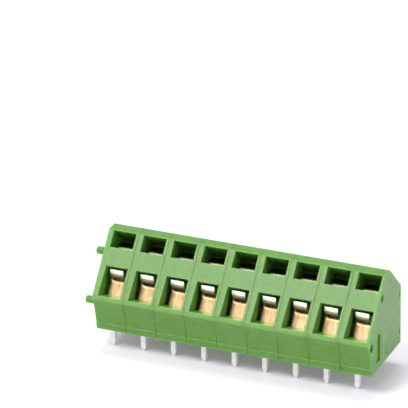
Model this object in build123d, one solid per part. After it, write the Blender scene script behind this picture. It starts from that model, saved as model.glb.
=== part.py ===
from build123d import *

import os
from math import atan2, cos, degrees, radians, sin

# Spring-cage terminal block for a circuit board, a row of single-pole housings. Millimetres, +X along
# the row, +Y to the back, +Z up. The origin is the middle pole's solder pin, where it meets the board.
# Each pole is drawn with X = 0 on its left face and Y = 0 at the foot of its front face.

# Row
pole_count = 9
pitch = 5.0

# Housing outline, seen from the end
body_height = 14.45
body_depth = 12.43
knee_height = 6.28
knee_reach = 1.38          # how far the knee stands out ahead of the foot of the front face
chin_drop = 1.83           # knee to where the front face starts to swell out
chin_reach = 0.88
sole_height = 1.2          # plain strip along the foot of the front face
sole_reach = 0.26
sole_step = 0.1            # the strip stands this much proud of the face above it
ridge_start = 5.58         # the slope ends here and the flat ridge begins
ridge_width = 2.07
back_corner_height = 9.74
knee_round = 0.75
chin_round = 1.6
seam_bevel = 0.11          # bevel round both end faces, which makes the seam between two housings

# Conductor entry, the lower opening. T is measured up the slope from the knee, N into the body
entry_bottom = 0.1
entry_top = 4.95
entry_left_bottom = 0.87
entry_left_top = 1.06
entry_floor_rise = 0.386   # the floor climbs this much for each millimetre inwards
entry_reach = 2.6          # the funnel's walls end this deep

# Screwdriver entry, the upper opening
driver_bottom = 7.95
driver_top = 10.6
driver_left = 0.85
opening_right = 4.56

# Chamber for the clamp, behind the front skin and open to the board side
skin = 1.1                 # front wall behind the band and round the screwdriver entry
chamber_left = 0.6
chamber_right = 4.45
chamber_depth = 5.2        # from the slope to the back of the screwdriver shaft
chamber_back = 9.15
chamber_front = 1.32
funnel_end = -1.2          # U where the chamber's front wall meets the floor of the conductor entry
band_drop = 0.3            # the back of the band starts this far below the top of the conductor entry
shelf_height = 2.7         # top of the front block that backs the solder pin
leg_room = 0.25            # running gap in front of and below the spring's leg

# Pocket that keeps the back wall thin, open to the board side
core_front = 10.2
core_back = 11.4
core_height = 8.4
core_left = 0.9
core_right = 4.1

# Pegs on the left face and their sockets in the right face
peg_length = 1.5
upper_peg_radius = 0.62
upper_peg_t = 7.4
upper_peg_n = 1.2
lower_peg_radius = 0.6
lower_peg_y = -0.15
lower_peg_drop = 1.4       # knee to the middle of the lower peg
peg_clearance = 0.04
peg_relief = 0.15          # room round the upper peg's tip, inside the wall that it goes through
socket_extra = 0.12        # the sockets are this much deeper than the pegs are long

# Marks in the right face
groove_front = 1.9
groove_back = 3.6
groove_bottom = 1.3
groove_top = 6.0
groove_depth = 0.27
key_depth = 0.25
key_width = 0.55
key_height = 1.1
key_setback = 0.55         # back face to the middle of a key
key_heights = (2.25, 8.55)
key_clearance = 0.05

# Cage spring, bent from strip. U is measured up its leg, V inwards from the leg's front face
strip = 0.35
spring_left = 1.25
spring_width = 3.0
leg_angle = 55.0           # leg to the board
leg_y = 2.09               # the leg's front face passes through this point, where U = 0
leg_z = 6.28
leg_bottom = -1.5
clamp_edge = 1.3           # lower edge of the window, which presses the wire to the bar
window_top = 4.45
window_side = 0.3          # strip left beside the window
window_clearance = 0.075   # bar to each side of the window
bow_height = 5.44          # where the leg turns into the bow
bow_radius = 1.825         # to the middle of the strip
heel_radius = 0.68
seat_end = 0.7             # the fixed leg stops this far behind the leg's front face
opening_travel = 1.6       # how far the leg slides down when the clamp is opened

# Contact, stamped and bent in one piece: bar, riser, foot and solder pin
bar_thickness = 1.0
bar_underside = 1.55       # U of the face that the wire is pressed to
bar_tip_y = 1.8            # the end is cut upright, here
tip_bevel = 0.12
shoulder_start = 0.75      # the bar widens this far behind the leg's front face
riser_gap = 0.2            # riser to the back of the chamber
upper_bend = 1.3
lower_bend = 1.2
foot_underside = 0.6
spring_seat_gap = 0.02     # fixed leg to bar
lug_start = 4.1
lug_length = 1.7
lug_gap = 0.02             # side lugs of the foot to the chamber walls

# Ribs that the foot's lugs snap behind
rib_depth = 0.3
rib_height = 0.4

# Solder pin
pin_x = 1.95
pin_y = 2.13
pin_width = 0.8
pin_depth = 0.9
pin_length = 3.5
pin_bend = 0.95
pin_tip = 0.8
pin_tip_width = 0.4
pin_tip_depth = 0.45

overshoot = 0.5            # cuts start this far outside the face that they go through

chin_height = knee_height - chin_drop
lower_peg_z = knee_height - lower_peg_drop
slope_run = ridge_start + knee_reach
slope_rise = body_height - knee_height
slope_angle = degrees(atan2(slope_rise, slope_run))
bar_top = bar_underside + bar_thickness
bar_left = spring_left + window_side + window_clearance
bar_width = spring_width - 2 * (window_side + window_clearance)


def on_slope(t, n):
    """Y and Z of a point T up the slope and N behind it."""
    along = (cos(radians(slope_angle)), sin(radians(slope_angle)))
    return (
        -knee_reach + t * along[0] + n * along[1],
        knee_height + t * along[1] - n * along[0],
    )


def on_leg(u, v):
    """Y and Z of a point U up the spring's leg and V behind its front face."""
    along = (cos(radians(leg_angle)), sin(radians(leg_angle)))
    return (
        leg_y + u * along[0] + v * along[1],
        leg_z + u * along[1] - v * along[0],
    )


def slab(points, left, right):
    """Solid between two X planes, with the outline given in Y and Z."""
    outline = make_face(Plane.YZ * Polyline(*points, close=True))
    return Pos(left, 0, 0) * extrude(outline, right - left, dir=(1, 0, 0))


def block(x_span, y_span, z_span):
    """Box between three pairs of limits."""
    size = [high - low for low, high in (x_span, y_span, z_span)]
    middle = [(high + low) / 2 for low, high in (x_span, y_span, z_span)]
    return Pos(*middle) * Box(*size)


def rod(y, z, radius, left, right):
    """Round bar along X."""
    return Pos((left + right) / 2, y, z) * Rot(0, 90, 0) * Cylinder(radius, right - left)


def bent_strip(path, thickness, left, width):
    """Flat strip that follows a path in the YZ plane."""
    section = Plane.YZ * trace(path, thickness)
    return Pos(left, 0, 0) * extrude(section, width, dir=(1, 0, 0))


def corner_path(points, radii):
    """Straight runs joined by tangent arcs."""
    return FilletPolyline(*points, radius=radii)


def housing_shell():
    """Outside of one housing, rounded at the knee and the chin."""
    corners = [
        ((0, 0), 0),
        ((-sole_reach, sole_height), 0),
        ((-sole_reach + sole_step, sole_height + sole_step), 0),
        ((-chin_reach, chin_height), chin_round),
        ((-knee_reach, knee_height - knee_round), knee_round),
        ((-knee_reach, knee_height), knee_round / 2),
        ((ridge_start, body_height), 0),
        ((ridge_start + ridge_width, body_height), 0),
        ((body_depth, back_corner_height), 0),
        ((body_depth, 0), 0),
    ]
    outline = make_face(Polyline(*[point for point, _ in corners], close=True))
    for point, radius in corners:
        if radius:
            outline = fillet(outline.vertices().sort_by_distance(point)[0], radius)
    body = extrude(Plane.YZ * outline, pitch, dir=(1, 0, 0))
    ends = body.faces().filter_by(Axis.X).edges()
    return chamfer(ends, seam_bevel)


def conductor_entry():
    """Slanted funnel that leads the wire to the clamp."""
    side = slab(
        [
            on_slope(entry_bottom - overshoot * entry_floor_rise, -overshoot),
            on_slope(entry_bottom + entry_reach * entry_floor_rise, entry_reach),
            on_slope(entry_top, entry_reach),
            on_slope(entry_top, -overshoot),
        ],
        0,
        opening_right,
    )
    slope_plane = Plane(
        origin=(0, -knee_reach, knee_height),
        x_dir=(1, 0, 0),
        z_dir=(0, -sin(radians(slope_angle)), cos(radians(slope_angle))),
    )
    front = make_face(
        slope_plane
        * Polyline(
            (entry_left_bottom, -overshoot),
            (opening_right, -overshoot),
            (opening_right, entry_top),
            (entry_left_top, entry_top),
            close=True,
        )
    )
    return side & extrude(front, 2 * entry_reach, both=True)


def driver_entry():
    """Straight shaft for the screwdriver that pushes the bow down."""
    return slab(
        [
            on_slope(driver_bottom, -skin),
            on_slope(driver_bottom, 2 * skin),
            on_slope(driver_top, 2 * skin),
            on_slope(driver_top, -skin),
        ],
        driver_left,
        opening_right,
    )


def clamp_chamber():
    """Hollow that holds the spring and the contact, seen from the end."""
    floor_u = leg_bottom - opening_travel - leg_room
    shaft_top = on_slope(driver_top, chamber_depth)
    shaft_drop = (shaft_top[0] - chamber_back) / cos(radians(slope_angle))
    return slab(
        [
            on_leg(floor_u, -leg_room),
            on_leg(funnel_end, -leg_room),
            on_slope(entry_top - band_drop, skin),
            on_slope(driver_top, skin),
            shaft_top,
            on_slope(driver_top - shaft_drop, chamber_depth),
            (chamber_back, 0),
            (chamber_front, 0),
            (chamber_front, shelf_height),
            on_leg(floor_u, strip + leg_room),
        ],
        chamber_left,
        chamber_right,
    )


def pegs():
    """Round pegs on the left face."""
    upper = on_slope(upper_peg_t, upper_peg_n)
    return [
        rod(*upper, upper_peg_radius, -peg_length, 2 * seam_bevel),
        rod(lower_peg_y, lower_peg_z, lower_peg_radius, -peg_length, 2 * seam_bevel),
    ]


def sockets():
    """Holes in the right face for the next housing's pegs. The upper one opens into the chamber,
    beside a square pocket in the back of the band."""
    end = pitch - peg_length - socket_extra
    outside = pitch + overshoot
    upper = on_slope(upper_peg_t, upper_peg_n)
    room = upper_peg_radius + peg_relief
    pocket = [
        on_slope(upper_peg_t - room, upper_peg_n - room),
        on_slope(upper_peg_t - room, upper_peg_n),
        on_slope(upper_peg_t + room, upper_peg_n),
        on_slope(upper_peg_t + room, upper_peg_n - room),
    ]
    return [
        rod(*upper, upper_peg_radius + peg_clearance, chamber_right, outside),
        slab(pocket, end, chamber_right),
        rod(lower_peg_y, lower_peg_z, lower_peg_radius + peg_clearance, end, outside),
    ]


def keys(left, right, clearance):
    """Two low upright keys near the back face, or the slots for them."""
    middle = body_depth - key_setback
    half_width = key_width / 2 + clearance
    half_height = key_height / 2 + clearance
    return [
        block(
            (left, right),
            (middle - half_width, middle + half_width),
            (height - half_height, height + half_height),
        )
        for height in key_heights
    ]


def snap_rib(wall, inwards):
    """Ramp on a chamber wall that the foot's lug snaps behind."""
    top = foot_underside - lug_gap
    ramp = Polyline(
        (wall, top),
        (wall + inwards * rib_depth, top),
        (wall, top - rib_height),
        close=True,
    )
    face = make_face(Plane.XZ * ramp)
    return Pos(0, lug_start, 0) * extrude(face, lug_length, dir=(0, 1, 0))


def housing():
    """One pole's moulded housing."""
    body = housing_shell()
    body -= clamp_chamber()
    body -= conductor_entry()
    body -= driver_entry()
    body -= block((core_left, core_right), (core_front, core_back), (-overshoot, core_height))
    for hole in sockets():
        body -= hole
    for slot in keys(pitch - key_depth - key_clearance, pitch + overshoot, key_clearance):
        body -= slot
    groove_round = (groove_back - groove_front) / 2
    body -= block(
        (pitch - groove_depth, pitch + overshoot),
        (groove_front, groove_back),
        (groove_bottom, groove_top - groove_round),
    )
    body -= rod(
        groove_front + groove_round,
        groove_top - groove_round,
        groove_round,
        pitch - groove_depth,
        pitch + overshoot,
    )
    for peg in pegs():
        body += peg
    for key in keys(-key_depth, seam_bevel, 0):
        body += key
    body += snap_rib(chamber_left, 1)
    body += snap_rib(chamber_right, -1)
    return body


def cage_spring():
    """Sprung cage: leg with its window, bow, heel and the fixed leg that lies on the bar."""
    middle = strip / 2
    seat = bar_top + spring_seat_gap + middle
    back = middle + 2 * bow_radius
    heel_start = seat + heel_radius
    lean = heel_radius * (1 - cos(radians(45)))
    path = [
        Line(on_leg(leg_bottom, middle), on_leg(bow_height, middle)),
        ThreePointArc(
            on_leg(bow_height, middle),
            on_leg(bow_height + bow_radius, middle + bow_radius),
            on_leg(bow_height, back),
        ),
        Line(on_leg(bow_height, back), on_leg(heel_start, back)),
        ThreePointArc(
            on_leg(heel_start, back),
            on_leg(seat + lean, back - lean),
            on_leg(seat, back - heel_radius),
        ),
        Line(on_leg(seat, back - heel_radius), on_leg(seat, seat_end)),
    ]
    spring = bent_strip(Curve() + path, strip, spring_left, spring_width)
    window = slab(
        [
            on_leg(clamp_edge, -strip),
            on_leg(window_top, -strip),
            on_leg(window_top, (strip + seat_end) / 2),
            on_leg(clamp_edge, (strip + seat_end) / 2),
        ],
        spring_left + window_side,
        spring_left + spring_width - window_side,
    )
    return spring - window


def taper(plane, width, tip_width):
    """Wedge that narrows down to the tip of the solder pin."""
    start = pin_tip - pin_length
    outline = Polyline(
        (-width / 2, start),
        (width / 2, start),
        (tip_width / 2, -pin_length),
        (-tip_width / 2, -pin_length),
        close=True,
    )
    return extrude(make_face(plane * outline), pin_depth, both=True)


def solder_pin():
    """Square pin bent down from the foot, with a tapered tip."""
    foot_middle = foot_underside + bar_thickness / 2
    shank = corner_path(
        [
            (pin_y + 2 * pin_bend, foot_middle),
            (pin_y, foot_middle),
            (pin_y, pin_tip - pin_length),
        ],
        pin_bend,
    )
    pin = bent_strip(shank, pin_depth, pin_x - pin_width / 2, pin_width)
    tip = taper(Plane.XZ, pin_width, pin_tip_width) & taper(Plane.YZ, pin_depth, pin_tip_depth)
    return pin + Pos(pin_x, pin_y, 0) * tip


def contact():
    """Current bar, riser, foot and solder pin in one piece."""
    half = bar_thickness / 2
    riser_y = chamber_back - riser_gap - half
    foot_z = foot_underside + half
    slope = (sin(radians(leg_angle)), -cos(radians(leg_angle)))
    ahead = (bar_tip_y - on_leg(bar_top, 0)[0]) / slope[0] - bar_thickness
    start = on_leg(bar_underside + half, ahead)
    run = (riser_y - start[0]) / slope[0]
    corner = (riser_y, start[1] + run * slope[1])
    path = corner_path(
        [start, corner, (riser_y, foot_z), (pin_y + pin_bend, foot_z)],
        [upper_bend, lower_bend],
    )
    body = bent_strip(path, bar_thickness, spring_left, spring_width)
    margin = 2 * body_height
    body -= block((-margin, margin), (-margin, bar_tip_y), (0, margin))
    for left, right in ((0, bar_left), (bar_left + bar_width, pitch)):
        body -= slab(
            [
                on_leg(bar_underside - overshoot, ahead - overshoot),
                on_leg(bar_underside - overshoot, shoulder_start),
                on_leg(bar_top + overshoot, shoulder_start),
                on_leg(bar_top + overshoot, ahead - overshoot),
            ],
            left,
            right,
        )
    tip_edges = body.faces().filter_by(Axis.Y).sort_by(Axis.Y)[0].edges()
    tip_edges = tip_edges.filter_by(Axis.X).sort_by(Axis.Z)[0]
    body = chamfer(tip_edges, tip_bevel)
    lug = block(
        (chamber_left + lug_gap, chamber_right - lug_gap),
        (lug_start, lug_start + lug_length),
        (foot_underside, foot_underside + bar_thickness),
    )
    return body + lug + solder_pin()


def main():
    os.makedirs("parts", exist_ok=True)
    middle_pole = (pole_count - 1) / 2
    shapes = {
        "housing": housing(),
        "cage_spring": cage_spring(),
        "contact": contact(),
    }
    for index in range(pole_count):
        place = Pos((index - middle_pole) * pitch - pin_x, -pin_y, 0)
        for name, shape in shapes.items():
            export_step(place * shape, f"parts/{name}_{index + 1}.step")


main()
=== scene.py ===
import math

import bmesh
import bpy
from mathutils import Matrix, Vector


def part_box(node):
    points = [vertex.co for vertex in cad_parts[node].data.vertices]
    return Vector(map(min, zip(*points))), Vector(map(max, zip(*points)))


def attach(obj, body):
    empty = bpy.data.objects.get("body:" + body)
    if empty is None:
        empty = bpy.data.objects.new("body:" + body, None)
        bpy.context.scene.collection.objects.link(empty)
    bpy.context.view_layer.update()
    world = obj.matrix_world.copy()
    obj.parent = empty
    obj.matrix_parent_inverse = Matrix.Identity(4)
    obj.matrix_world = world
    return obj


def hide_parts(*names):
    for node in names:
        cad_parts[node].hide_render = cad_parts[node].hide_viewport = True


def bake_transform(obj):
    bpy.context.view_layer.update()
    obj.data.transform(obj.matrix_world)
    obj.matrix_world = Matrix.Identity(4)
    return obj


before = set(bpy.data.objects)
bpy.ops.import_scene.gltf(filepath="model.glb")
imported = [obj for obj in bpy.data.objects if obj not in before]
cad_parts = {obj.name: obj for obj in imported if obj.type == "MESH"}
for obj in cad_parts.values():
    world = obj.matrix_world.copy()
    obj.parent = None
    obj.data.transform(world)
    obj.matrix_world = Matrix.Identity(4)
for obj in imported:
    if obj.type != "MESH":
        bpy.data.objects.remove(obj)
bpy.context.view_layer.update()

mm = 0.001
poleCount = sum(name.startswith("housing_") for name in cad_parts)
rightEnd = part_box("housing_1")[1].x
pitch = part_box("housing_2")[1].x - rightEnd
frontFoot = -2.13 * mm          # foot of the front face, from the row of solder pins
boardFace = 0.0
poleCorner = Vector((rightEnd - pitch, frontFoot, boardFace))
print("frame loaded:", poleCount, "poles,", round(pitch / mm, 2), "mm apart")


# materials: a wrapped socket, and one method that makes every node

class Wire:
    def __init__(self, finish, socket):
        self.finish = finish
        self.socket = socket

    def joined(self, operation, first, second):
        return self.finish.node("ShaderNodeMath", {"operation": operation}, {0: first, 1: second})

    def __add__(self, other):
        return self.joined("ADD", self, other)

    def __radd__(self, other):
        return self.joined("ADD", other, self)

    def __sub__(self, other):
        return self.joined("SUBTRACT", self, other)

    def __rsub__(self, other):
        return self.joined("SUBTRACT", other, self)

    def __mul__(self, other):
        return self.joined("MULTIPLY", self, other)

    def __rmul__(self, other):
        return self.joined("MULTIPLY", other, self)


class Finish:
    # the nodes of one material, or of the world
    def __init__(self, owner, shader="Principled BSDF"):
        owner.use_nodes = True
        self.owner = owner
        self.nodes = owner.node_tree.nodes
        self.links = owner.node_tree.links
        self.shader = self.nodes[shader]

    def feed(self, socket, value):
        if isinstance(value, Wire):
            self.links.new(value.socket, socket)
        else:
            socket.default_value = value

    def node(self, kind, settings=None, inputs=None, output=0):
        made = self.nodes.new(kind)
        for key, value in (settings or {}).items():
            setattr(made, key, value)
        for key, value in (inputs or {}).items():
            self.feed(made.inputs[key], value)
        return Wire(self, made.outputs[output])

    def coat(self, sockets):
        for key, value in sockets.items():
            self.feed(self.shader.inputs[key], value)


def newFinish(name):
    return Finish(bpy.data.materials.new(name))


def paint(red, green, blue):
    # display values from 0 to 255 to the linear ones that a socket takes
    shares = [value / 255 for value in (red, green, blue)]
    return tuple(s / 12.92 if s < 0.04045 else ((s + 0.055) / 1.055) ** 2.4 for s in shares) + (1,)


def place(finish):
    return finish.node("ShaderNodeTexCoord", output="Object")


def along(finish, direction, spot=None):
    spot = spot or place(finish)
    dot = {"operation": "DOT_PRODUCT"}
    return finish.node("ShaderNodeVectorMath", dot, {0: spot, 1: direction}, output="Value")


def stretched(finish, spot, scale):
    return finish.node("ShaderNodeMapping", {}, {"Vector": spot, "Scale": scale})


def noise(finish, spot, size, detail=3.0, roughness=0.5):
    # size is that of one blot, in millimetres
    sockets = {"Vector": spot, "Scale": 1 / (size * mm), "Detail": detail, "Roughness": roughness}
    return finish.node("ShaderNodeTexNoise", {}, sockets)


def between(finish, mask, first, second):
    # the sockets of a colour mix go by number, as several share a name
    sockets = {0: mask, 6: first, 7: second}
    return finish.node("ShaderNodeMix", {"data_type": "RGBA"}, sockets, output=2)


def span(finish, value, low, high, first=0.0, second=1.0):
    sockets = {"Value": value, "From Min": low, "From Max": high,
               "To Min": first, "To Max": second}
    return finish.node("ShaderNodeMapRange", {}, sockets)


def rise(finish, value, rows, first=0.0, second=1.0):
    # the change between two places, in millimetres
    low, high = rows
    return span(finish, value, low * mm, high * mm, first, second)


def bumped(finish, height, distance, strength):
    sockets = {"Height": height, "Distance": distance * mm, "Strength": strength}
    return finish.node("ShaderNodeBump", {}, sockets)


plasticLook = {
    "green": (97, 146, 61),
    "deepGreen": (86, 136, 51),
    "shades": (0.34, 0.66),     # what the clouds run through from deep green to green
    "paleGreen": (121, 163, 86),
    "specks": (0.42, 0.7, 0.0, 0.5),  # from, until, least and most
    "cloud": 2.4,
    "flow": 0.7,
    "flowStretch": (1.0, 1.0, 0.25),
    "mottle": 0.5,
    "grain": 0.09,
    "kneeSheen": (150, 186, 122),  # painted sheen along the knee's rounded edge, where the slope light would catch it
    "kneeSheenFrom": (5.45, 5.75),
    "kneeSheenUntil": (6.45, 6.15),
    "kneeSheenFront": (-3.0, -3.3),
    "kneeSheenShare": 0.55,
    "kneeSheenPatches": (0.3, 0.6, 0.5, 1.0),
    "roughness": 0.29,
    "uneven": (0.2, 0.12),      # its change with the grain and with the clouds
    "gloss": 0.25,
    "bump": 0.006,
    "bumpStrength": 0.6,
    "clearness": 0.9,
    "glow": 2.0,                # how far light wanders in the plastic
    "glowShares": (0.3, 0.9, 0.2),
}


def mouldedGreen():
    look = plasticLook
    finish = newFinish("green moulding")
    spot = place(finish)
    cloud = noise(finish, spot, look["cloud"], detail=4.0)
    flow = noise(finish, stretched(finish, spot, look["flowStretch"]), look["flow"], detail=2.0)
    mottle = noise(finish, spot, look["mottle"], detail=3.0, roughness=0.6)
    grain = noise(finish, spot, look["grain"], detail=2.0, roughness=0.6)
    shade = span(finish, cloud * 0.5 + flow * 0.2 + mottle * 0.3, *look["shades"])
    body = between(finish, shade, paint(*look["deepGreen"]), paint(*look["green"]))
    speck = span(finish, grain * 0.6 + mottle * 0.4, *look["specks"])
    body = between(finish, speck, body, paint(*look["paleGreen"]))
    height, depth = along(finish, (0, 0, 1)), along(finish, (0, 1, 0))
    # painted sheen: a pale, patchy band along the front of the knee, mixed into the base colour
    kneeSheen = rise(finish, height, look["kneeSheenFrom"]) * rise(finish, height, look["kneeSheenUntil"])
    kneeSheen = kneeSheen * rise(finish, depth, look["kneeSheenFront"], 0.0, look["kneeSheenShare"])
    kneeSheen = kneeSheen * span(finish, mottle, *look["kneeSheenPatches"])
    fine, wide = look["uneven"]
    finish.coat({
        "Base Color": between(finish, kneeSheen, body, paint(*look["kneeSheen"])),
        "Roughness": look["roughness"] + (grain - 0.5) * fine + (cloud - 0.5) * wide,
        "Specular IOR Level": look["gloss"],
        "Normal": bumped(finish, grain * 0.7 + flow * 0.5, look["bump"], look["bumpStrength"]),
        "Subsurface Weight": look["clearness"],
        "Subsurface Radius": look["glowShares"],
        "Subsurface Scale": look["glow"] * mm,
    })
    return finish.owner


steelLook = {
    "straw": (160, 134, 98),
    "amber": (134, 100, 68),
    "tints": (0.42, 0.74),      # what the bands run through from amber to straw
    "strawLeg": (1.3, -0.4),    # more straw further down the leg
    # paler streaks along the strip: rolling marks, partly a painted highlight
    "streakSheen": (178, 160, 126),
    "streakSheenMask": (0.46, 0.66, 0.0, 0.8),
    "barShade": (72, 60, 48),     # painted shade: darker above the clamp edge, for the bar's shadow and the dark shaft the strip reflects
    "barShadeFrom": (1.12, 1.28),
    "crestHighlight": (250, 240, 220),   # painted highlight on the front of the bow, where its crest catches the light
    "crestHighlightFrom": (5.6, 5.8),
    "crestHighlightUntil": (6.47, 6.37),
    "streak": 0.1,
    "streakStretch": (1.0, 1.0, 0.05),
    "band": 0.55,
    "bandStretch": (1.0, 0.5, 0.12),
    "blot": 1.3,
    "roughness": 0.3,
    "uneven": (0.25, 0.1),      # its change with the streaks and with the blots
    "bump": 0.004,
    "bumpStrength": 0.8,
}


def strawSteel():
    look = steelLook
    finish = newFinish("straw tinted strip")
    spot = finish.node("ShaderNodeAttribute", {"attribute_name": "home"}, output="Vector")
    upLeg = along(finish, (0, 0, 1), spot)
    drawn, rolled = (stretched(finish, spot, look[key]) for key in ("streakStretch", "bandStretch"))
    streaks = noise(finish, drawn, look["streak"], detail=2.0)
    bands = noise(finish, rolled, look["band"], detail=2.0)
    blots = noise(finish, spot, look["blot"], detail=3.0)
    low = rise(finish, upLeg, look["strawLeg"])
    tint = span(finish, bands * 0.5 + blots * 0.4 + low * 0.25, *look["tints"])
    body = between(finish, tint, paint(*look["amber"]), paint(*look["straw"]))
    # paler streaks: rolling marks along the strip, partly painted highlight
    streakSheenMask = span(finish, streaks * 0.5 + bands * 0.5, *look["streakSheenMask"])
    strip = between(finish, streakSheenMask, body, paint(*look["streakSheen"]))
    # painted shade: the strip turns dark brown above the clamp edge
    shadedAbove = rise(finish, upLeg, look["barShadeFrom"])
    strip = between(finish, shadedAbove, strip, paint(*look["barShade"]))
    # painted highlight: a cream band across the bow's crest
    crestHighlight = rise(finish, upLeg, look["crestHighlightFrom"]) * rise(finish, upLeg, look["crestHighlightUntil"])
    fine, wide = look["uneven"]
    finish.coat({
        "Base Color": between(finish, crestHighlight, strip, paint(*look["crestHighlight"])),
        "Metallic": 1.0,
        "Roughness": look["roughness"] + (streaks - 0.5) * fine + (blots - 0.5) * wide,
        "Normal": bumped(finish, streaks, look["bump"], look["bumpStrength"]),
    })
    return finish.owner


tinLook = {
    "tin": (248, 248, 246),
    "dull": (228, 229, 226),
    "crystal": 0.35,
    "scuff": 0.12,
    "scuffStretch": (1.0, 1.0, 0.08),
    "dulled": (0.42, 0.66),
    "plateReflection": (176, 160, 108),   # painted reflection of the straw spring, on the lower part of the sheared end
    "plateReflectionFrom": (8.0, 8.2),
    "plateReflectionTop": 8.86,
    "ragged": 0.3,
    "raggedEdge": (0.06, -0.06),
    "endFace": (-0.2, -0.25),   # the sheared end lies ahead of this
    "matte": 0.3,               # the pins are tinned dull
    "matteBelow": (-0.2, 0.2),
    "roughness": 0.3,
    "dullRoughness": 0.16,      # added where the plate is dull
    "bump": 0.004,
    "bumpStrength": 0.7,
}


def tinPlate():
    look = tinLook
    finish = newFinish("bright tin plate")
    spot = place(finish)
    crystals = noise(finish, spot, look["crystal"], detail=4.0, roughness=0.6)
    scuffs = noise(finish, stretched(finish, spot, look["scuffStretch"]), look["scuff"], detail=2.0)
    dull = span(finish, crystals * 0.6 + scuffs * 0.4, *look["dulled"])
    plate = between(finish, dull, paint(*look["tin"]), paint(*look["dull"]))
    height, depth = along(finish, (0, 0, 1)), along(finish, (0, 1, 0))
    # painted reflection: a brass tint with a ragged top along the lower part of the bar's end
    reflectionEdge = look["plateReflectionTop"] * mm + (scuffs + crystals - 1.0) * look["ragged"] * mm
    reflectedPlate = rise(finish, height - reflectionEdge, look["raggedEdge"])
    reflectedPlate = reflectedPlate * rise(finish, height, look["plateReflectionFrom"]) * rise(finish, depth, look["endFace"])
    finish.coat({
        "Base Color": between(finish, reflectedPlate, plate, paint(*look["plateReflection"])),
        "Metallic": rise(finish, height, look["matteBelow"], look["matte"], 1.0),
        "Roughness": look["roughness"] + dull * look["dullRoughness"],
        "Normal": bumped(finish, crystals * 0.6 + scuffs * 0.6, look["bump"], look["bumpStrength"]),
    })
    return finish.owner


green = mouldedGreen()
straw = strawSteel()
tin = tinPlate()
print("materials ready:", ", ".join(m.name for m in (green, straw, tin)))


# geometry: each piece is made once for the first pole and copied along the row

weld = 0.03 * mm
fineWeld = 0.001 * mm
alike = 0.999                   # the product of two directions that count as one
flatWithin = 0.5                # degrees
rightwards, backwards, upwards = Vector((1, 0, 0)), Vector((0, 1, 0)), Vector((0, 0, 1))


def weldedCopy(node):
    # a CAD mesh is loose triangles
    bm = bmesh.new()
    bm.from_mesh(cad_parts[node].data)
    bmesh.ops.remove_doubles(bm, verts=bm.verts, dist=weld)
    return bm


def onPegTip(verts):
    return all(vert.co.x < poleCorner.x - housingShape["pegTip"] * mm for vert in verts)


def joinFaces(bm, cuts):
    # the triangles of a flat face become one face, or a few with the cuts between them
    for facing, point, across in cuts:
        faces = [face for face in bm.faces
                 if face.normal.dot(facing) > alike and not onPegTip(face.verts)]
        edges = {edge for face in faces for edge in face.edges}
        verts = {vert for face in faces for vert in face.verts}
        cut = bmesh.ops.bisect_plane(bm, geom=faces + list(edges) + list(verts), dist=fineWeld,
                                     plane_co=point, plane_no=across)
        for part in cut["geom_cut"]:
            if isinstance(part, bmesh.types.BMEdge):
                part.seam = True
    # the points within a flat face go before the weld, which could draw its corners to them
    for dist in (0.0, weld):
        bmesh.ops.remove_doubles(bm, verts=bm.verts, dist=dist)
        bmesh.ops.dissolve_limit(bm, angle_limit=math.radians(flatWithin), verts=bm.verts,
                                 edges=bm.edges, delimit={"SEAM"})


def bendOf(edge):
    return math.degrees(edge.calc_face_angle(0.0))


def roomBeside(edge):
    # a third of the narrower face's width, in millimetres, which a rounding may take
    return min(face.calc_area() for face in edge.link_faces) / edge.calc_length() / mm / 3


def finished(bm, name, modifiers):
    # live modifiers are worked into the mesh, which leaves a plain one to copy
    for face in bm.faces:
        face.smooth = True
    draft = bpy.data.meshes.new(name + "Draft")
    bm.to_mesh(draft)
    bm.free()
    holder = bpy.data.objects.new(name + "Draft", draft)
    bpy.context.scene.collection.objects.link(holder)
    for kind, settings in modifiers:
        modifier = holder.modifiers.new(kind, kind)
        for key, value in settings.items():
            setattr(modifier, key, value)
    graph = bpy.context.evaluated_depsgraph_get()
    mesh = bpy.data.meshes.new_from_object(holder.evaluated_get(graph))
    bpy.data.objects.remove(holder)
    mesh.name = name
    return mesh


def addPiece(name, mesh, material, pole, body, node):
    own = mesh.copy()
    own.name = name
    own.transform(Matrix.Translation(rightwards * (pole * pitch)))
    own.materials.clear()
    own.materials.append(material)
    piece = bpy.data.objects.new(name, own)
    bpy.context.scene.collection.objects.link(piece)
    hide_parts(node)
    if body:
        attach(piece, body)
    return piece


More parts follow.
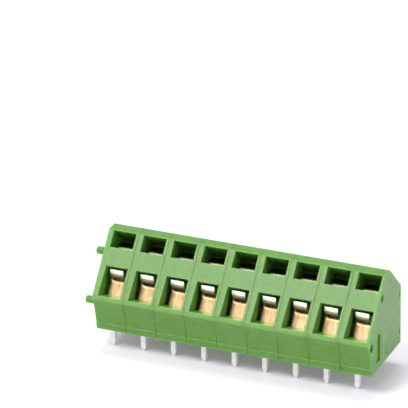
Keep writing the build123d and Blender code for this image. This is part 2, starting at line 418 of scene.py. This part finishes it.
# places are in from the foot of the front face and up from the board, in millimetres
housingShape = {
    "knee": (-1.38, 6.28),
    "slopeRise": (0.6492, 0.7606),  # one step up the slope
    "chinInside": (1.21, 5.472),
    "chinRise": (0.3256, 0.9455),
    "seamBevel": 0.11,          # the solids' bevel between two housings
    "seamReach": 1.8,           # in bevels; what has no shoulder that near stays as it is
    "seamSizes": (0.11, 0.03),  # at the board, and from the knee up
    "seamRound": 0.02,
    "seamBends": (30, 60),      # degrees
    "seamTurned": (0.6, 0.8),   # sideways part of the way that a bevel faces
    "lengthways": 0.8,          # share of the pitch that a long edge runs over
    "cornerRound": 0.2,         # back edges
    "footRound": 0.1,
    "footHeight": 2.0,          # edges below this belong to the foot
    "rimRound": 0.055,          # rims of both openings
    "rimNear": 0.06,            # how far behind the slope a rim may lie
    "rimReach": 0.44,           # share of the pitch to both sides of the middle
    "rimShort": 0.05,
    "pegRound": 0.24,
    "pegTip": 1.4,              # what reaches further out is a peg's tip, which stays whole
    "insideRound": 0.04,
    "steps": 3,
    "finest": 0.01,             # what has less room stays sharp
    "sharpFrom": 28,            # degrees; what bends less is part of a curve
    "rimSides": (0.6, 4.56),    # across from the left face
    "rimRows": (0.1, 4.95, 7.95, 10.6),  # up the slope from the knee
    "endRows": (4.88, 7.0, 11.1349),     # up from the board, in both end faces
    "dimplePlace": (6.13, 1.28),
    "dimpleFrame": 0.42,        # half the square that is cut round it
    "dimpleRadius": 0.28,
    "dimpleDepth": 0.3,
    "dimpleSteps": 5,
    "dimpleCuts": 5,            # of each of its four sides
}


def kneeAndSlope():
    # a point of the slope, the way up it and the way that it faces
    knee, up = (Vector((0, *housingShape[key])) for key in ("knee", "slopeRise"))
    return poleCorner + knee * mm, up, rightwards.cross(up)


def onRim(edge):
    # an edge of one of the openings in the slope
    shape = housingShape
    knee, _, facing = kneeAndSlope()
    middle = poleCorner.x + pitch / 2
    spots = [vert.co for vert in edge.verts]
    near = all((spot - knee).dot(facing) > -shape["rimNear"] * mm for spot in spots)
    return near and all(abs(spot.x - middle) < shape["rimReach"] * pitch for spot in spots)


def onSeam(edge):
    low, high = housingShape["seamBends"]
    least, most = housingShape["seamTurned"]
    turned = any(least < abs(face.normal.x) < most for face in edge.link_faces)
    return turned and low < bendOf(edge) < high


def edgeRounding(edge):
    shape = housingShape
    if bendOf(edge) < shape["sharpFrom"] or not edge.is_convex:
        return 0.0
    first, second = edge.verts[0].co - poleCorner, edge.verts[1].co - poleCorner
    if onPegTip(edge.verts):
        return shape["pegRound"]
    if abs(first.x - second.x) > shape["lengthways"] * pitch:
        if max(first.z, second.z) > shape["footHeight"] * mm:
            return shape["cornerRound"]
        wished = "footRound"
    elif onSeam(edge):
        wished = "seamRound"
    else:
        wished = "rimRound" if onRim(edge) else "insideRound"
    rounding = min(shape[wished], roomBeside(edge))
    return rounding if rounding > shape["finest"] else 0.0


def housingCuts():
    # planes along the rims of the openings and across the end faces, so that no face has a hole
    shape = housingShape
    knee, up, facing = kneeAndSlope()
    rightFace = poleCorner + rightwards * pitch
    cuts = [(facing, knee + rightwards * (x * mm), rightwards) for x in shape["rimSides"]]
    cuts += [(facing, knee + up * t * mm, up) for t in shape["rimRows"]]
    for outwards, face in ((rightwards, rightFace), (-rightwards, poleCorner)):
        cuts += [(outwards, face + upwards * (z * mm), upwards) for z in shape["endRows"]]
    y, z = shape["dimplePlace"]
    for side in (-shape["dimpleFrame"], shape["dimpleFrame"]):
        cuts.append((rightwards, rightFace + backwards * ((y + side) * mm), backwards))
        cuts.append((rightwards, rightFace + upwards * ((z + side) * mm), upwards))
    chin, up = (Vector((0, *shape[key])) for key in ("chinInside", "chinRise"))
    cuts.append((up.cross(rightwards), poleCorner + chin * mm, up))
    return cuts


def seamSize(spot):
    low, high = housingShape["seamSizes"]
    share = (spot.z - poleCorner.z) / mm / housingShape["knee"][1]
    return (low + (high - low) * max(0.0, min(1.0, share))) * mm


def shallowSeams(bm):
    # the bevels that two housings meet with are made finer than those of the solids
    middle, flank = poleCorner.x + pitch / 2, pitch / 2
    bevel, near = housingShape["seamBevel"] * mm, 0.003 * mm
    inset = {vert: flank - abs(vert.co.x - middle) for vert in bm.verts}
    shoulders = [vert for vert in bm.verts if abs(inset[vert] - bevel) < near]
    for vert in bm.verts:
        if not -near < inset[vert] < bevel - near:
            continue
        spot = min((other.co for other in shoulders), key=lambda co: (co - vert.co).length)
        if (spot - vert.co).length > housingShape["seamReach"] * bevel:
            continue
        if inset[vert] > near:
            vert.co = spot          # a point within the bevel, welded to its edge
        else:
            vert.co.yz = spot.yz.lerp(vert.co.yz, seamSize(vert.co) / bevel)
    for vert in bm.verts:
        if abs(flank - abs(vert.co.x - middle) - bevel) < near:
            vert.co.x = middle + math.copysign(flank - seamSize(vert.co), vert.co.x - middle)


def dimple(bm):
    # a shallow round mark that an ejector leaves in the right face
    shape = housingShape
    middle = poleCorner + rightwards * pitch + Vector((0, *shape["dimplePlace"])) * mm
    face = min(bm.faces, key=lambda f: (f.calc_center_median() - middle).length)
    border = shape["dimpleFrame"] - shape["dimpleRadius"]
    bmesh.ops.inset_individual(bm, faces=[face], thickness=border * mm)
    bmesh.ops.bisect_edges(bm, edges=list(face.edges), cuts=shape["dimpleCuts"])
    steps = shape["dimpleSteps"]
    for step in range(steps):
        turn = math.radians(90 * step / steps)
        reach = shape["dimpleRadius"] * math.cos(turn) * mm
        sunk = middle - rightwards * shape["dimpleDepth"] * math.sin(turn) * mm
        if step:
            face = bmesh.ops.extrude_discrete_faces(bm, faces=[face])["faces"][0]
        for vert in face.verts:
            out = vert.co - middle
            out.x = 0
            vert.co = sunk + out.normalized() * reach


def housingMesh():
    shape = housingShape
    bm = weldedCopy("housing_1")
    shallowSeams(bm)
    joinFaces(bm, housingCuts())
    rims = [edge for edge in bm.edges if onRim(edge)]
    short = [edge for edge in rims if edge.calc_length() < shape["rimShort"] * mm]
    bmesh.ops.collapse(bm, edges=short)
    dimple(bm)
    weights = bm.edges.layers.float.new("bevel_weight_edge")
    widest = max(shape["cornerRound"], shape["pegRound"])
    for edge in bm.edges:
        rounding = edgeRounding(edge)
        edge[weights] = rounding / widest
        edge.smooth = rounding > 0 or bendOf(edge) < shape["sharpFrom"]
    bevel = {"limit_method": "WEIGHT", "width": widest * mm, "segments": shape["steps"],
             "use_clamp_overlap": False, "harden_normals": False, "miter_outer": "MITER_SHARP"}
    return finished(bm, "housing", [("BEVEL", bevel), ("WEIGHTED_NORMAL", {"keep_sharp": True})])


housing = housingMesh()
for pole in range(poleCount):
    addPiece(f"housing{pole + 1}", housing, green, pole, "root", f"housing_{pole + 1}")
print("housings ready:", len(housing.polygons), "faces each")


contactShape = {
    "sheared": 0.09,            # rounding of the cut edges
    "pinSides": (1.55, 2.35),
    "steps": 2,
    "sharpFrom": 35,
    "merged": 0.003,
}


def contactMesh():
    shape = contactShape
    bm = weldedCopy("contact_1")
    joinFaces(bm, [(-backwards, poleCorner + rightwards * (x * mm), rightwards)
                   for x in shape["pinSides"]])
    weights = bm.edges.layers.float.new("bevel_weight_edge")
    for edge in bm.edges:
        if bendOf(edge) > shape["sharpFrom"] and edge.is_convex:
            edge[weights] = min(1.0, roomBeside(edge) / shape["sheared"])
        edge.smooth = bendOf(edge) < shape["sharpFrom"] or edge.is_convex
    bevel = {"limit_method": "WEIGHT", "width": shape["sheared"] * mm, "segments": shape["steps"],
             "use_clamp_overlap": False}
    merged = {"merge_threshold": shape["merged"] * mm}
    modifiers = [("BEVEL", bevel), ("WELD", merged), ("WEIGHTED_NORMAL", {"keep_sharp": True})]
    return finished(bm, "contact", modifiers)


contact = contactMesh()
for pole in range(poleCount):
    addPiece(f"contact{pole + 1}", contact, tin, pole, "root", f"contact_{pole + 1}")
print("contacts ready:", len(contact.polygons), "faces each")


# places are given in from the leg's front face and up the leg, in millimetres
springShape = {
    "strip": 0.35,
    "left": 1.25,
    "width": 3.0,
    "legAngle": 55.0,
    "legPoint": (2.09, 6.28),   # where that face is at height 0, from the front foot
    "legBottom": -1.5,
    "clampEdge": 1.3,
    "windowTop": 4.45,
    "windowSide": 0.3,
    "bowHeight": 5.44,
    "bowRadius": 1.825,
    "heelRadius": 0.68,
    "seatHeight": 2.745,        # of the middle of the fixed leg
    "seatEnd": 0.7,
    "lipHeight": 0.55,          # the clamp edge curls back over this height
    "lipDepth": 0.12,
    "lipSteps": 4,
    "edgeRound": 0.05,
    "edgeFrom": 40,             # degrees
    "edgeSteps": 2,
    "bowSteps": 36,
    "heelSteps": 12,
    "heldAt": (3.6, 4.0),       # the bending starts and ends here
    "pressedAt": (0.4, 4.0),
}


def legMatrix():
    # from across, inwards, up the leg to the frame's own axes
    turn = Matrix.Rotation(math.radians(springShape["legAngle"] - 90), 4, "X")
    foot = poleCorner + Vector((0, *springShape["legPoint"])) * mm
    return Matrix.Translation(foot) @ turn


def edgesIn(geometry):
    return [part for part in geometry if isinstance(part, bmesh.types.BMEdge)]


def pulled(bm, edges, step):
    made = bmesh.ops.extrude_edge_only(bm, edges=edges)["geom"]
    verts = [part for part in made if isinstance(part, bmesh.types.BMVert)]
    bmesh.ops.translate(bm, verts=verts, vec=Vector(step) * mm)
    return [edge for edge in edgesIn(made) if all(vert in verts for vert in edge.verts)]


def swung(bm, edges, centre, angle, steps):
    made = bmesh.ops.spin(bm, geom=edges, cent=Vector(centre) * mm, axis=rightwards,
                          angle=math.radians(angle), steps=steps, use_duplicate=False)
    return edgesIn(made["geom_last"])


def bentStrip(bm, stops, lipRows):
    # the middle of the strip, from the leg's bottom round the bow and the heel to the seat
    shape = springShape
    middle = shape["strip"] / 2
    verts = [bm.verts.new(Vector((x, middle, shape["legBottom"])) * mm) for x in stops]
    edges = [bm.edges.new(pair) for pair in zip(verts, verts[1:])]
    height = shape["legBottom"]
    for row in lipRows + [shape["windowTop"], shape["bowHeight"]]:
        edges = pulled(bm, edges, (0, 0, row - height))
        height = row
    bowCentre = (0, middle + shape["bowRadius"], shape["bowHeight"])
    edges = swung(bm, edges, bowCentre, -180, shape["bowSteps"])
    back = middle + 2 * shape["bowRadius"]
    heelStart = shape["seatHeight"] + shape["heelRadius"]
    edges = pulled(bm, edges, (0, 0, heelStart - shape["bowHeight"]))
    heelCentre = (0, back - shape["heelRadius"], heelStart)
    edges = swung(bm, edges, heelCentre, -90, shape["heelSteps"])
    pulled(bm, edges, (0, shape["seatEnd"] - back + shape["heelRadius"], 0))
    bmesh.ops.remove_doubles(bm, verts=bm.verts, dist=fineWeld)


def springMesh():
    shape = springShape
    left, right = shape["left"], shape["left"] + shape["width"]
    stops = [left, left + shape["windowSide"], right - shape["windowSide"], right]
    lipFoot = shape["clampEdge"] - shape["lipHeight"]
    steps = shape["lipSteps"]
    lipRows = [lipFoot + shape["lipHeight"] * step / steps for step in range(steps + 1)]
    near = 0.01                 # takes up rounding errors
    bm = bmesh.new()
    bentStrip(bm, stops, lipRows)
    hole = []
    for face in bm.faces:
        x, y, z = face.calc_center_median() / mm
        inWindow = stops[1] < x < stops[2] and shape["clampEdge"] < z < shape["windowTop"]
        if inWindow and y < shape["seatEnd"]:
            hole.append(face)
    bmesh.ops.delete(bm, geom=hole, context="FACES")
    for vert in bm.verts:
        x, y, z = vert.co / mm
        share = (z - lipFoot) / shape["lipHeight"]
        inLip = 0 < share < 1 + near and left + near < x < right - near
        if inLip and y < shape["strip"]:
            vert.co.y += shape["lipDepth"] * share ** 2 * mm
    bmesh.ops.transform(bm, matrix=legMatrix(), verts=bm.verts)
    solid = {"thickness": shape["strip"] * mm, "offset": 0.0, "use_even_offset": True}
    bevel = {"limit_method": "ANGLE", "angle_limit": math.radians(shape["edgeFrom"]),
             "width": shape["edgeRound"] * mm, "segments": shape["edgeSteps"],
             "use_clamp_overlap": False}
    modifiers = [("SOLIDIFY", solid), ("BEVEL", bevel), ("WEIGHTED_NORMAL", {"keep_sharp": True})]
    return finished(bm, "cageSpring", modifiers)


def markHome(mesh):
    # the strip's places at rest, from across, inwards and up the leg, which its finish follows
    inverse = legMatrix().inverted()
    home = mesh.attributes.new("home", "FLOAT_VECTOR", "POINT")
    for vert, item in zip(mesh.vertices, home.data):
        item.vector = inverse @ vert.co


spring = springMesh()
for pole in range(poleCount):
    piece = addPiece(f"cageSpring{pole + 1}", spring, straw, pole, None, f"cage_spring_{pole + 1}")
    markHome(piece.data)
    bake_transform(piece)
print("cage springs ready:", len(spring.polygons), "faces each")


# stage, light and camera

white = (1, 1, 1, 1)


def seenPlain(finish):
    # over 0 where a thing is seen, also in or through another, and 0 where it lights others
    rays = ("Is Camera Ray", "Is Glossy Ray", "Is Transmission Ray")
    camera, glossy, through = (finish.node("ShaderNodeLightPath", output=ray) for ray in rays)
    return camera + glossy + through


stageLook = {
    "floorBelow": -3.5,         # the pins stand on it
    "floorSize": 4.0,
    "floor": (0.93, 0.885, 0.97, 1),
    "roughness": 0.9,
    "gloss": 0.1,
    "lift": 0.06,               # white added to the floor where it is seen
}


def stageMaterial():
    finish = newFinish("paper sweep")
    finish.coat({
        "Base Color": stageLook["floor"],
        "Roughness": stageLook["roughness"],
        "Specular IOR Level": stageLook["gloss"],
        "Emission Color": white,
        "Emission Strength": seenPlain(finish) * stageLook["lift"],
    })
    return finish.owner


def makeStage():
    bm = bmesh.new()
    bmesh.ops.create_grid(bm, x_segments=1, y_segments=1, size=stageLook["floorSize"] / 2)
    bmesh.ops.translate(bm, verts=bm.verts, vec=upwards * stageLook["floorBelow"] * mm)
    mesh = bpy.data.meshes.new("floor")
    bm.to_mesh(mesh)
    bm.free()
    mesh.materials.append(stageMaterial())
    floor = bpy.data.objects.new("floor", mesh)
    bpy.context.scene.collection.objects.link(floor)


lightLook = {
    "sky": 0.52,
    "aim": (0, 0, 0.005),       # metres, as are the places and sizes of the boxes
    # name: place, size across and upwards, power
    "boxes": {
        "keyLight": ((-0.07, 0.08, 0.64), (0.28, 0.28), 1.8),
        "slopeLight": ((-0.19, -0.34, 0.54), (0.26, 0.26), 2.5),
        "fillLight": ((0.42, -0.25, 0.3), (0.3, 0.3), 0.5),
    },
}


def makeWorld():
    finish = Finish(bpy.data.worlds.new("studio"), "Background")
    strength = span(finish, seenPlain(finish), 0.0, 1.0, lightLook["sky"], 1.0)
    finish.coat({"Color": white, "Strength": strength})
    bpy.context.scene.world = finish.owner


def softbox(name, spot, size, power):
    data = bpy.data.lights.new(name, "AREA")
    data.shape = "RECTANGLE"
    data.size, data.size_y = size
    data.energy = power
    lamp = bpy.data.objects.new(name, data)
    bpy.context.scene.collection.objects.link(lamp)
    lamp.location = spot
    lamp.rotation_mode = "QUATERNION"
    lamp.rotation_quaternion = (Vector(lightLook["aim"]) - Vector(spot)).to_track_quat("-Z", "Y")


cameraLook = {
    "azimuth": 22.684,          # degrees
    "elevation": 25.726,
    "roll": -0.725,
    "distance": 787.8,          # millimetres
    "aim": (-7.685, 6.978, 19.457),
    "lens": 457.86,
    "sensor": 36,
    "farthest": 20,             # metres
}


def makeCamera():
    look = cameraLook
    azimuth, elevation, roll = (math.radians(look[key]) for key in ("azimuth", "elevation", "roll"))
    right = Vector((math.cos(azimuth), math.sin(azimuth), 0))
    forward = Vector((-math.sin(azimuth), math.cos(azimuth), 0))
    back = upwards * math.sin(elevation) - forward * math.cos(elevation)
    columns = Matrix((right, back.cross(right), back)).transposed()
    data = bpy.data.cameras.new("camera")
    data.lens, data.sensor_width, data.clip_end = look["lens"], look["sensor"], look["farthest"]
    camera = bpy.data.objects.new("camera", data)
    bpy.context.scene.collection.objects.link(camera)
    spot = (Vector(look["aim"]) + back * look["distance"]) * mm
    turn = columns @ Matrix.Rotation(roll, 3, "Z")
    camera.matrix_world = Matrix.Translation(spot) @ turn.to_4x4()
    bpy.context.scene.camera = camera


makeStage()
makeWorld()
for name, (spot, size, power) in lightLook["boxes"].items():
    softbox(name, spot, size, power)
makeCamera()
bpy.context.scene.view_settings.view_transform = "Standard"
print("stage, lights and camera ready")
